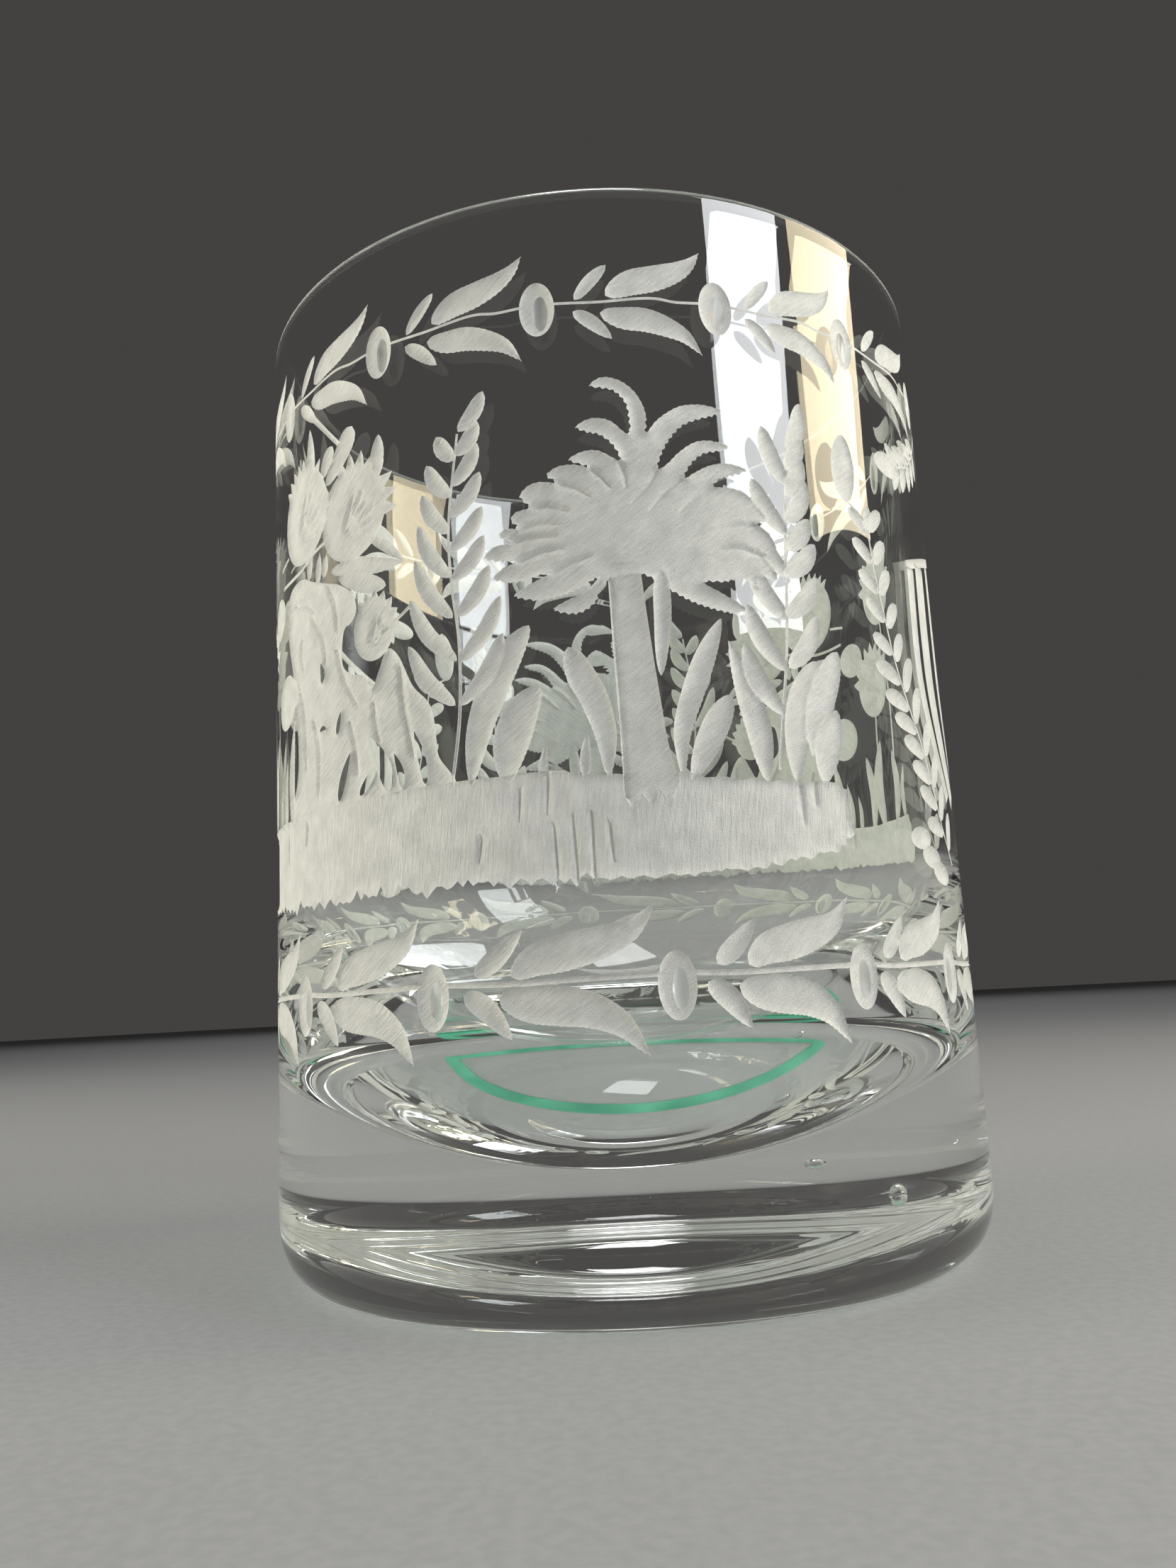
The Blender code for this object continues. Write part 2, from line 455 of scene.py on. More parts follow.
# The thicket left of the palm, where the leaves run together, clockwise from its left foot.
THICKET = (
    (-38.9, 46.6), (-37.9, 52.0), (-37.8, 56.0), (-38.6, 60.0), (-39.4, 63.8), (-40.4, 66.6),
    (-41.0, 70.0), (-40.6, 72.0), (-39.0, 73.0), (-36.2, 73.1), (-33.6, 72.0), (-30.8, 71.0),
    (-28.6, 70.2), (-26.6, 68.8), (-26.0, 67.0), (-26.8, 65.8), (-28.0, 65.2), (-28.3, 62.0),
    (-27.0, 60.6), (-25.0, 60.0), (-24.0, 58.4), (-23.0, 60.0), (-21.8, 62.0), (-20.4, 61.0),
    (-18.8, 57.8), (-16.8, 55.4), (-16.2, 51.0), (-15.9, 46.6),
)

# The creases where its leaves overlap.
THICKET_CREASES = (
    ((-39.4, 71.0), (-36.6, 70.6), (-34.2, 69.0)), ((-37.2, 66.8), (-37.6, 65.0), (-37.0, 63.4)),
    ((-34.8, 68.4), (-32.6, 66.0), (-31.8, 62.8)), ((-31.2, 70.8), (-30.0, 68.6), (-29.6, 65.6)),
    ((-38.2, 61.8), (-36.8, 58.0), (-36.4, 52.6)), ((-34.6, 57.4), (-33.4, 54.0), (-33.6, 49.4)),
    ((-29.8, 63.8), (-28.6, 60.6), (-26.6, 57.4)), ((-27.8, 56.0), (-27.0, 53.6), (-26.6, 50.6)),
    ((-24.2, 57.2), (-23.8, 54.6), (-23.0, 51.8)), ((-20.6, 60.0), (-20.2, 56.0), (-19.2, 51.0)),
)

# Gaps in the thicket, each a narrow blade of clear glass: mid-line and half width.
GAPS = (
    (((-29.2, 48.2), (-28.4, 50.4), (-27.3, 52.7)), 0.5),
    (((-29.4, 54.9), (-29.1, 56.0), (-28.7, 57.1)), 0.3),
    (((-21.9, 48.2), (-22.6, 50.6), (-24.6, 53.9)), 0.9),
    (((-25.9, 48.3), (-24.8, 49.4), (-23.2, 51.2)), 0.5),
    (((-20.3, 48.2), (-20.5, 49.8), (-21.2, 51.6)), 0.4),
    (((-17.6, 48.2), (-18.0, 50.8), (-18.8, 53.4)), 0.42),
    (((-32.2, 60.8), (-31.9, 61.6), (-32.3, 62.9)), 0.4),
    (((-32.6, 55.9), (-31.9, 56.1), (-31.4, 55.9)), 0.25),
)


def thicket():
    cut("leaf", smooth(THICKET, 0.4, closed=True))
    for crease in THICKET_CREASES:
        groove(crease, 0.38)
    for middle, half_width in GAPS:
        cut("clear", blade(middle, half_width, teeth=0.0))


def bloom(centre, half_width, half_height, petals, first, last, spike):
    """A flower from the side: round, with a fringe of pointed petals from one angle to another.

    spike is how far the petals stand out. Creases fan out over the flower from low on its left.
    """

    def at(angle, reach):
        out = Vector((half_width * math.cos(angle), half_height * math.sin(angle)))
        return Vector(centre) + out * reach

    outline = [at(last + (first + math.tau - last) * k / 20, 1.0) for k in range(20)]
    step = (last - first) / petals
    for k in range(petals):
        a = first + step * k
        outline += [at(a, 1.0), at(a + 0.3 * step, 1 + 0.6 * spike),
                    at(a + 0.55 * step, 1 + spike), at(a + 0.75 * step, 1 + 0.5 * spike)]
    cut("leaf", outline)
    root = Vector(centre) - Vector((half_width, half_height)) * 0.42
    for k in range(6):
        out = Matrix.Rotation(-0.1 + 0.24 * k, 2) @ Vector((half_width, 0))
        near = 0.3 - 0.12 * (k % 2)
        groove((root + out * near, root + out * (near + 0.4), root + out * (near + 0.75)), 0.32)


def flowers():
    """The broad flowers over the thicket, their stems, and the leaves beside them."""
    bloom((-35.9, 80.0), 5.3, 5.3, 8, 0.8, 2.5, 0.22)
    leaf(((-33.9, 84.0), (-34.0, 86.6), (-34.1, 89.2)), 0.9, fullest=0.3)
    bloom((-26.6, 77.2), 5.0, 5.0, 8, -0.3, 2.0, 0.3)
    leaf(((-22.9, 80.4), (-22.6, 82.4), (-22.4, 84.3)), 0.95, fullest=0.4, tip=0.7)
    stalk(((-33.1, 89.9), (-31.0, 87.9), (-28.3, 85.2)), 0.65, 0.5)
    leaf(((-31.4, 82.6), (-30.8, 84.0), (-29.5, 85.5)), 0.95, fullest=0.6, tip=0.5)
    leaf(((-30.8, 81.6), (-28.9, 83.2), (-27.4, 84.8), (-26.2, 86.5)), 1.3, fullest=0.74, tip=0.5)
    stalk(((-43.5, 76.3), (-42.2, 76.6), (-40.6, 76.9)), 0.35)
    stem = ((-42.8, 74.1), (-39.6, 74.0), (-36.4, 74.2), (-33.5, 75.1), (-31.0, 75.6))
    stalk(stem, 0.4)
    for s, low, high in ((-34.4, 72.4, 75.8), (-32.5, 71.4, 74.7), (-31.2, 71.8, 74.2)):
        leaf(((s - 0.2, low), (s, (low + high) / 2), (s + 0.3, high)), 0.65)
    leaf(((-30.0, 72.0), (-26.0, 71.5), (-22.8, 70.7), (-19.5, 70.3)), 0.95, tip=0.8)
    leaf(((-28.8, 71.0), (-26.2, 69.9), (-24.0, 69.1), (-21.8, 68.4)), 1.0, fullest=0.6, tip=0.6)
    leaf(((-24.0, 73.9), (-22.0, 72.6), (-20.6, 71.4), (-19.5, 70.4)), 0.6, tip=0.8)
    bloom((-23.6, 64.4), 2.8, 3.2, 7, -0.2, 2.4, 0.24)
    stalk(((-23.2, 64.2), (-20.8, 64.6), (-18.8, 65.7)), 0.35)
    cut("leaf", oval((-41.6, 60.9), 3.3, 2.9, turn=0.3))
    cut("leaf", oval((-45.0, 71.2), 2.8, 2.3, turn=0.2))
    bloom((-50.5, 66.6), 4.2, 4.4, 9, 0.0, 3.1, 0.3)
    bloom((-54.0, 78.4), 4.4, 4.6, 9, 0.0, 3.1, 0.3)
    stalk(((-50.5, 48.0), (-50.0, 58.0), (-50.4, 64.0)), 0.6, 0.4)
    stalk(((-54.2, 48.0), (-55.2, 62.0), (-54.2, 75.0)), 0.6, 0.4)


def vine():
    """The vine of seed-shaped leaves that hangs in the gap between the two scenes."""
    stem = ((43.6, 39.8), (40.9, 43.8), (39.2, 47.7), (37.1, 52.0), (34.8, 55.9), (32.8, 60.5),
            (31.6, 65.4), (30.7, 69.2), (30.2, 73.6))
    stalk(stem, 0.32, 0.2)
    spine = smooth(stem, 0.2)
    shape = {"fullest": 0.55, "tip": 0.5, "teeth": 0.03}
    side_leaves(spine, shares(0.1, 0.55, 7), 4.6, 0.82, 0.95, sides=(1,), **shape)
    side_leaves(spine, shares(0.63, 0.97, 5), 3.6, 0.8, 0.85, sides=(1,), **shape)
    side_leaves(spine, shares(0.04, 0.52, 6), 4.4, 0.95, 0.95, sides=(-1,), **shape)
    side_leaves(spine, shares(0.61, 0.98, 5), 3.6, 0.85, 0.85, sides=(-1,), **shape)
    leaf(((30.2, 73.0), (30.4, 74.4), (30.7, 75.8)), 0.7, fullest=0.5, tip=0.6)
    stalk(((30.0, 74.0), (28.4, 74.9), (27.0, 75.6)), 0.25)
    leaf(((27.0, 75.4), (27.1, 79.0), (27.4, 82.7)), 1.75, fullest=0.5, tip=0.6)
    for centre, turn in (((34.9, 42.0), 0.05), ((37.0, 40.2), -0.1), ((39.2, 38.7), -0.2)):
        cut("leaf", oval(centre, 2.2, 1.15, turn))


def hanging_spray():
    """A leafy spray that hangs from the upper garland beyond the vine."""
    stem = ((49.5, 90.5), (45.5, 86.5), (41.5, 83.6), (37.6, 82.2))
    stalk(stem, 0.4, 0.28)
    side_leaves(smooth(stem, 0.2), shares(0.3, 0.9, 5), 3.4, 0.75, 0.85, tip=0.7)
    cut("leaf", oval((35.8, 81.8), 2.9, 1.35, turn=0.05))


def trellis():
    """Three bowed posts with a sloping bar across their tops, beside the vine."""
    for s, width in ((0.0, 1.7), (3.4, 3.0), (7.9, 1.7)):
        post = ((45.0, 47.0), (41.4, 52.4), (39.2, 58.0), (38.8, 64.0), (39.3, 71.4 + 0.31 * s))
        cut("ground", ribbon([(s + x, z) for x, z in post], width))
    stalk(((38.2, 71.4), (44.2, 73.3), (50.4, 75.2)), 1.0)


upper_garland()
lower_garland()
thicket()
ground()
low_leaves()
flowers()
ferns()
palm()
trellis()
vine()
hanging_spray()


# ==== The sheet: the wall unrolled, divided into triangles that follow the outlines ====

SHEET_LEFT = SEAM - REPEAT


class Scatter:
    """Points on the sheet. One is only taken if it keeps its distance from those before it."""

    CELL = 0.4

    def __init__(self):
        self.points = []
        self.cells = {}

    def add(self, x, y, gap=0.0):
        column, row = int(x // self.CELL), int(y // self.CELL)
        if gap:
            reach = int(gap // self.CELL) + 1
            for i in range(column - reach, column + reach + 1):
                for j in range(row - reach, row + reach + 1):
                    for other_x, other_y in self.cells.get((i, j), ()):
                        if (x - other_x) ** 2 + (y - other_y) ** 2 < gap * gap:
                            return None
        self.cells.setdefault((column, row), []).append((x, y))
        self.points.append((x, y))
        return len(self.points) - 1


def inside(points, outline):
    """Which of the points lie within an outline, by how often it winds round them."""
    x, y = points[:, :1], points[:, 1:]
    ax, ay = outline[:, 0], outline[:, 1]
    bx, by = np.roll(ax, -1), np.roll(ay, -1)
    turn = (bx - ax) * (y - ay) - (x - ax) * (by - ay)
    upward = (ay <= y) & (by > y) & (turn > 0)
    downward = (ay > y) & (by <= y) & (turn < 0)
    return upward.sum(1) != downward.sum(1)


def topmost(points, outlines):
    """The number of the last outline that holds each point, or -1 for none."""
    found = np.full(len(points), -1)
    for number, outline in enumerate(outlines):
        near = ((points > outline.min(0)) & (points < outline.max(0))).all(1)
        near = np.flatnonzero(near)
        if len(near):
            found[near[inside(points[near], outline)]] = number
    return found


def repeated_cuts():
    """Every cut that shows on the sheet, those that cross the seam at both of its edges."""
    kinds, outlines = [], []
    for kind, outline in cuts:
        flat = np.array([tuple(p) for p in outline])
        for shift in (-REPEAT, 0.0, REPEAT):
            moved = flat + (shift, 0.0)
            if moved[:, 0].max() > SHEET_LEFT and moved[:, 0].min() < SEAM:
                kinds.append(kind)
                outlines.append(moved)
    return kinds, outlines


def sheet_edge(scatter, edges):
    """The sheet's four edges, with points where the turned parts and the seam meet it."""
    tall = SHEET_HIGH - SHEET_LOW
    rows = round(tall / CLEAR_STEP)
    border = [(SHEET_LEFT + REPEAT * k / COLUMNS, SHEET_LOW) for k in range(COLUMNS)]
    border += [(SEAM, SHEET_LOW + tall * k / rows) for k in range(rows)]
    border += [(SEAM - REPEAT * k / COLUMNS, SHEET_HIGH) for k in range(COLUMNS)]
    border += [(SHEET_LEFT, SHEET_HIGH - tall * k / rows) for k in range(rows)]
    numbers = [scatter.add(x, y) for x, y in border]
    edges += list(zip(numbers, numbers[1:] + numbers[:1]))


def on_sheet(x, y, margin):
    return (
        SHEET_LEFT + margin < x < SEAM - margin
        and SHEET_LOW + margin < y < SHEET_HIGH - margin
    )


def divide(kinds, outlines):
    """The sheet's points and triangles."""
    scatter, edges = Scatter(), []
    deep = np.array([kind != "clear" for kind in kinds] + [False])
    sheet_edge(scatter, edges)
    for outline in outlines:
        numbers = [scatter.add(x, y) for x, y in outline]
        edges += list(zip(numbers, numbers[1:] + numbers[:1]))

    for outline in outlines:
        along = np.roll(outline, -1, 0) - np.roll(outline, 1, 0)
        sideways = np.stack([-along[:, 1], along[:, 0]], 1)
        sideways /= np.maximum(np.linalg.norm(sideways, axis=1, keepdims=True), 1e-9)
        for distance in (INSET, -INSET):
            inset = outline + sideways * distance
            held = deep[topmost(inset, outlines)]
            for (x, y), is_cut in zip(inset, held):
                if is_cut and on_sheet(x, y, CUT_MARGIN):
                    scatter.add(x, y, INSET * 0.95)

    for step, wanted, margin in ((CUT_STEP, True, CUT_MARGIN), (CLEAR_STEP, False, CLEAR_MARGIN)):
        places = []
        for j in range(int((SHEET_HIGH - SHEET_LOW) / (step * ROW)) + 1):
            for i in range(int(REPEAT / step) + 1):
                x = SHEET_LEFT + (i + j % 2 / 2) * step
                y = SHEET_LOW + j * step * ROW
                if on_sheet(x, y, margin):
                    places.append((x, y))
        held = deep[topmost(np.array(places), outlines)]
        for (x, y), is_cut in zip(places, held):
            if is_cut == wanted:
                scatter.add(x, y, step * CLOSEST)

    points = [Vector(p) for p in scatter.points]
    verts, _, faces, _, _, _ = delaunay_2d_cdt(points, edges, [], 0, 1e-4, False)
    verts = np.array([tuple(v) for v in verts])
    faces = np.array([f for f in faces if len(f) == 3])
    a, b, c = (verts[faces[:, k]] for k in range(3))
    area = (b[:, 0] - a[:, 0]) * (c[:, 1] - a[:, 1]) - (c[:, 0] - a[:, 0]) * (b[:, 1] - a[:, 1])
    faces[area < 0] = faces[area < 0][:, ::-1]
    return verts, faces


def sink(verts, faces, kinds, outlines):
    """How deep each point is cut, and the kind of each triangle."""
    middles = verts[faces].mean(1)
    holder = topmost(middles, outlines)
    face_kind = np.array([KINDS.index(kinds[h]) if h >= 0 else 0 for h in holder])

    ends = np.sort(np.concatenate([faces[:, (0, 1)], faces[:, (1, 2)], faces[:, (2, 0)]]), 1)
    owner = np.tile(np.arange(len(faces)), 3)
    order = np.lexsort((ends[:, 1], ends[:, 0]))
    ends, owner = ends[order], owner[order]
    twin = np.flatnonzero((ends[1:] == ends[:-1]).all(1))
    pair, one, other = ends[twin], holder[owner[twin]], holder[owner[twin + 1]]
    one_cut, other_cut = face_kind[owner[twin]] > 0, face_kind[owner[twin + 1]] > 0
    border = pair[one_cut != other_cut]
    between = one_cut & other_cut & (one != other)

    def corners_of(parts):
        found = np.zeros(len(verts), bool)
        found[parts.ravel()] = True
        return found

    ridge = corners_of(pair[between])

    share = np.linspace(0, 1, 5)[:, None, None]
    dense = (verts[border[:, 0]] * (1 - share) + verts[border[:, 1]] * share).reshape(-1, 2)
    tree = kdtree.KDTree(len(dense))
    for number, (x, y) in enumerate(dense):
        tree.insert((x, y, 0), number)
    tree.balance()

    full = np.zeros(len(verts))
    for number, depth in enumerate(FIRST_DEPTH.values()):
        touched = faces[face_kind == number].ravel()
        full[touched] = np.maximum(full[touched], depth)
    depth = np.zeros(len(verts))
    for v in np.flatnonzero(full):
        away = tree.find((verts[v, 0], verts[v, 1], 0))[2]
        depth[v] = full[v] * (1 - math.exp(-away / SLOPE))

    plain = np.isin(face_kind, [KINDS.index(k) for k in ("leaf", "ground")])
    in_plain = corners_of(faces[plain])
    in_groove = corners_of(faces[face_kind == KINDS.index("groove")])
    depth[ridge & in_plain & ~in_groove] *= 1 - RIDGE / LEAF_DEPTH
    depth[in_groove] += GROOVE_DEPTH - GROUND_DEPTH

    for number in (n for n, kind in enumerate(kinds) if kind == "dish"):
        held = np.unique(faces[holder == number])
        if not len(held):
            continue
        outline = outlines[number]
        centre = (outline.min(0) + outline.max(0)) / 2
        half = (outline.max(0) - outline.min(0)) / 2
        share = (((verts[held] - centre) / half) ** 2).sum(1).clip(0, 1)
        depth[held] = RING_DEPTH + (DISH_DEPTH - RING_DEPTH) * (1 - share)
    return depth, face_kind


def wall_radius(z):
    """The straight outer wall's radius at a height."""
    share = (z - HEEL_HEIGHT) / (HEIGHT - WALL / 2 - HEEL_HEIGHT)
    return BASE_RADIUS + (RIM_RADIUS - BASE_RADIUS) * share


# ==== The glass ====


def bowl():
    """The cup's rounded bottom, from the wall inward almost to the axis."""
    last = math.acos(1.0 / BOWL_RADIUS)
    return [(BOWL_RADIUS * math.cos(last * k / 36),
             BOWL_HEIGHT - (BOWL_HEIGHT - FLOOR_HEIGHT) * math.sin(last * k / 36))
            for k in range(37)]


def lip_and_inside():
    """From the sheet's top edge over the lip and down the straight inside of the cup."""
    points = [(wall_radius(z), z) for z in (SHEET_HIGH, 104.3, HEIGHT - WALL / 2)]
    for k in range(1, 13):
        a = math.pi * k / 12
        points.append((RIM_RADIUS - WALL / 2 + WALL / 2 * math.cos(a),
                       HEIGHT - WALL / 2 + WALL / 2 * math.sin(a)))
    inner = RIM_RADIUS - WALL
    for k in range(1, 9):
        share = k / 9
        z = HEIGHT - WALL / 2 + (BOWL_HEIGHT - HEIGHT + WALL / 2) * share
        points.append((inner + (BOWL_RADIUS - inner) * share, z))
    return points


def heel_and_foot():
    """From the sheet's bottom edge round the heel and in under the foot."""
    points = [(wall_radius(z), z) for z in (SHEET_LOW, 8.0)]
    for k in range(13):
        a = math.pi / 2 * k / 12
        points.append((BASE_RADIUS - HEEL_RADIUS + HEEL_RADIUS * math.cos(a),
                       HEEL_HEIGHT * (1 - math.sin(a))))
    return points + [(24.0, 0.0), (12.0, 0.0)]


def around(radius, z):
    """A ring of points that line up with the sheet's long edges."""
    ring = []
    for k in range(2 * COLUMNS):
        a = (SHEET_LEFT + REPEAT * k / COLUMNS) / WALL_RADIUS
        ring.append((radius * math.sin(a), -radius * math.cos(a), z))
    return ring


def turned_part(mesh, profile, slot, middle_z=None):
    """Revolves a profile of (radius, z). With middle_z it closes on the axis."""
    rows = [[mesh.verts.new(p) for p in around(r, z)] for r, z in profile]
    count = 2 * COLUMNS
    for upper, lower in zip(rows, rows[1:]):
        for k in range(count):
            n = (k + 1) % count
            mesh.faces.new((upper[k], upper[n], lower[n], lower[k])).material_index = slot
    if middle_z is not None:
        middle = mesh.verts.new((0, 0, middle_z))
        last = rows[-1]
        for k in range(count):
            mesh.faces.new((last[k], last[(k + 1) % count], middle)).material_index = slot


# Seeds, the bubbles left in the heavy base: centre, and half size along, across and up.
SEEDS = (
    ((22.5, -24.0, 8.6), (1.0, 0.8, 1.05)),
    ((14.5, -15.0, 11.2), (0.9, 0.6, 0.5)),
)


def seeds(mesh):
    """Bubbles are holes in the glass, so their faces look inward."""
    for centre, half in SEEDS:
        place = Matrix.Translation(centre) @ Matrix.Diagonal((*half, 1.0))
        made = bmesh.ops.create_icosphere(mesh, subdivisions=3, radius=1.0, matrix=place)
        faces = {face for vert in made["verts"] for face in vert.link_faces}
        bmesh.ops.reverse_faces(mesh, faces=list(faces))
        for face in faces:
            face.smooth = True


# The painted reflection's other side, which crosses the foot in front of the axis, from right to
# left.
GREEN_CROSSING = ((28.0, -17.2), (18.0, -16.0), (0.0, -16.2), (-18.0, -17.0), (-26.0, -21.0))


def painted_green_reflection(mesh, slot):
    """A closed band of green in the foot, a painted reflection: a flat strip of colour inside the
    glass.
    """
    crossing = smooth(GREEN_CROSSING, step=1.5)
    start = math.atan2(*reversed(GREEN_CROSSING[-1]))
    turn = math.atan2(*reversed(GREEN_CROSSING[0])) - start
    path = crossing + [
        GREEN_RADIUS * Vector((math.cos(start + turn * k / 40), math.sin(start + turn * k / 40)))
        for k in range(1, 40)
    ]
    count = len(path)
    section = ((-1, GREEN_LOW), (1, GREEN_LOW), (1, GREEN_HIGH), (-1, GREEN_HIGH))
    rows = []
    for k, point in enumerate(path):
        along = path[(k + 1) % count] - path[k - 1]
        width = GREEN_WIDTH if k < len(crossing) else GREEN_ROUND_WIDTH
        side = Vector((-along.y, along.x)).normalized() * width / 2
        rows.append([mesh.verts.new((*(point + side * way), z)) for way, z in section])
    for k, row in enumerate(rows):
        after = rows[(k + 1) % count]
        for n in range(4):
            corners = (row[n], row[(n + 1) % 4], after[(n + 1) % 4], after[n])
            mesh.faces.new(corners).material_index = slot


def engraved_sheet(mesh, slots):
    """Both halves of the rolled-up sheet."""
    kinds, outlines = repeated_cuts()
    verts, faces = divide(kinds, outlines)
    depth, face_kind = sink(verts, faces, kinds, outlines)
    middles = verts[faces].mean(1)
    kept = np.array([on_sheet(x, y, 0.0) for x, y in middles])
    radius = wall_radius(verts[:, 1]) - depth
    for half in (0, 1):
        angle = verts[:, 0] / WALL_RADIUS + math.pi * half
        placed = np.stack([radius * np.sin(angle), -radius * np.cos(angle), verts[:, 1]], 1)
        used = np.unique(faces[kept])
        made = {v: mesh.verts.new(placed[v]) for v in used}
        for face, kind in zip(faces[kept], face_kind[kept]):
            corner = [made[v] for v in face]
            mesh.faces.new(corner).material_index = slots[KINDS[kind]]


SLOTS = {"clear": 0, "leaf": 1, "groove": 1, "ring": 1, "ground": 2, "dish": 3, "painted_green_reflection": 4}


def read(items, name, width=1, kind=float):
    """One attribute of all the mesh's points, corners or faces, as an array."""
    values = np.empty(len(items) * width, kind)
    items.foreach_get(name, values)
    return values.reshape(-1, width) if width > 1 else values


def corner_places(mesh):
    """Where each face's corners are, in millimetres."""
    corner = read(mesh.loops, "vertex_index", kind=int)
    return read(mesh.vertices, "co", 3)[corner] / MM


def lay_uv(mesh):
    """Texture coordinates in units of 10 mm: round the wall, and up."""
    place = corner_places(mesh)
    start = read(mesh.polygons, "loop_start", kind=int)
    total = read(mesh.polygons, "loop_total", kind=int)
    angle = np.arctan2(place[:, 0], -place[:, 1])
    first = np.repeat(angle[start], total)
    turn = (angle - first + math.pi) % math.tau - math.pi + first
    uv = np.stack([turn * WALL_RADIUS / 10, place[:, 2] / 10], 1)
    mesh.uv_layers.new(name="wall").data.foreach_set("uv", uv.ravel())


def polish_normals(mesh):
    """Gives the uncut wall the normals of a true cylinder, so that its reflections run clean."""
    place = corner_places(mesh)
    slot = np.repeat(read(mesh.polygons, "material_index", kind=int),
                     read(mesh.polygons, "loop_total", kind=int))
    radius = np.hypot(place[:, 0], place[:, 1])
    height = place[:, 2]
    on_wall = (height > HEEL_HEIGHT - 0.01) & (height < HEIGHT - WALL / 2 + 0.01)
    on_wall &= (slot == SLOTS["clear"]) & (np.abs(radius - wall_radius(height)) < 0.004)
    normals = np.zeros((len(place), 3))
    normals[on_wall, :2] = place[on_wall, :2] / radius[on_wall, None]
    mesh.normals_split_custom_set(normals)


def engraved_glass(materials):
    """The whole tumbler as one closed mesh, each of its parts in its own material."""
    mesh = bmesh.new()
    clear = SLOTS["clear"]
    turned_part(mesh, lip_and_inside() + bowl(), clear, FLOOR_HEIGHT)
    turned_part(mesh, heel_and_foot(), clear, 0.0)
    engraved_sheet(mesh, SLOTS)
    bmesh.ops.remove_doubles(mesh, verts=mesh.verts, dist=0.006)
    bmesh.ops.recalc_face_normals(mesh, faces=mesh.faces)
    for face in mesh.faces:
        face.smooth = True
    for edge in mesh.edges:
        if len({face.material_index for face in edge.link_faces}) > 1:
            edge.smooth = False
    seeds(mesh)
    # The foot's green reflection, painted in as a band of colour.
    painted_green_reflection(mesh, SLOTS["painted_green_reflection"])
    bmesh.ops.scale(mesh, vec=(MM, MM, MM), verts=mesh.verts)
    data = bpy.data.meshes.new("engraved_glass")
    mesh.to_mesh(data)
    mesh.free()
    for material in materials:
        data.materials.append(material)
    lay_uv(data)
    polish_normals(data)
    glass = bpy.data.objects.new("engraved_glass", data)
    bpy.context.collection.objects.link(glass)
    return glass


# ==== Materials ====


class Nodes:
    """A short way to write the nodes of a material or the world.

    An input may be given a value or a socket.
    """

    def __init__(self, owner):
        owner.use_nodes = True
        self.owner = owner
        self.tree = owner.node_tree
        self.tree.nodes.clear()

    def add(self, kind, inputs=(), **settings):
        node = self.tree.nodes.new(kind)
        for name, value in settings.items():
            setattr(node, name, value)
        for name, value in dict(inputs).items():
            if isinstance(value, bpy.types.NodeSocket):
                self.tree.links.new(value, node.inputs[name])
            else:
                node.inputs[name].default_value = value
        return node

    def place(self, kind="Object"):
        return self.add("ShaderNodeTexCoord").outputs[kind]

    def noise(self, place, scale, detail, **more):
        inputs = {"Vector": place, "Scale": scale, "Detail": detail, **more}
        return self.add("ShaderNodeTexNoise", inputs).outputs["Fac"]

    def blend(self, share, one, other):
        inputs = {"Factor": share, 2: one, 3: other}
        return self.add("ShaderNodeMix", inputs, data_type="FLOAT").outputs[0]

    def remap(self, value, low, high, to_low, to_high):
        inputs = {
            "Value": value, "From Min": low, "From Max": high, "To Min": to_low, "To Max": to_high,
        }
        return self.add("ShaderNodeMapRange", inputs).outputs["Result"]

    def ramp(self, value, low, low_colour, high, high_colour):
        node = self.add("ShaderNodeValToRGB", {"Fac": value})
        ends = node.color_ramp.elements
        ends[0].position, ends[0].color = low, (*low_colour, 1)
        ends[1].position, ends[1].color = high, (*high_colour, 1)
        return node.outputs[0]

    def bump(self, height, strength, distance):
        inputs = {"Height": height, "Strength": strength, "Distance": distance}
        return self.add("ShaderNodeBump", inputs).outputs[0]

    def mix(self, share, one, other):
        return self.add("ShaderNodeMixShader", {0: share, 1: one, 2: other}).outputs[0]

    def finish(self, shader, shadow_tint):
        """Lets soft light through the glass in shadows, which a path tracer would lose."""
        clear = self.add("ShaderNodeBsdfTransparent", {"Color": shadow_tint})
        ray = self.add("ShaderNodeLightPath").outputs["Is Shadow Ray"]
        surface = self.mix(ray, shader, clear.outputs[0])
        self.add("ShaderNodeOutputMaterial", {"Surface": surface})
        return self.owner


def polished_glass():
    """Clear glass, faintly green, with the odd smudge and the slight unevenness of hand work."""
    nodes = Nodes(bpy.data.materials.new("polished_glass"))
    place = nodes.place()
    smudge = nodes.noise(place, 55.0, 5.0)
    wave = nodes.noise(place, 26.0, 1.0)
    glass = nodes.add("ShaderNodeBsdfPrincipled", {
        "Base Color": (0.968, 0.985, 0.976, 1),
        "Roughness": nodes.remap(smudge, 0.5, 0.75, 0.0, 0.05),
        "IOR": 1.52,
        "Transmission Weight": 1.0,
        "Normal": nodes.bump(wave, 0.10, 0.002),
    })
    return nodes.finish(glass.outputs[0], (0.82, 0.85, 0.83, 1))


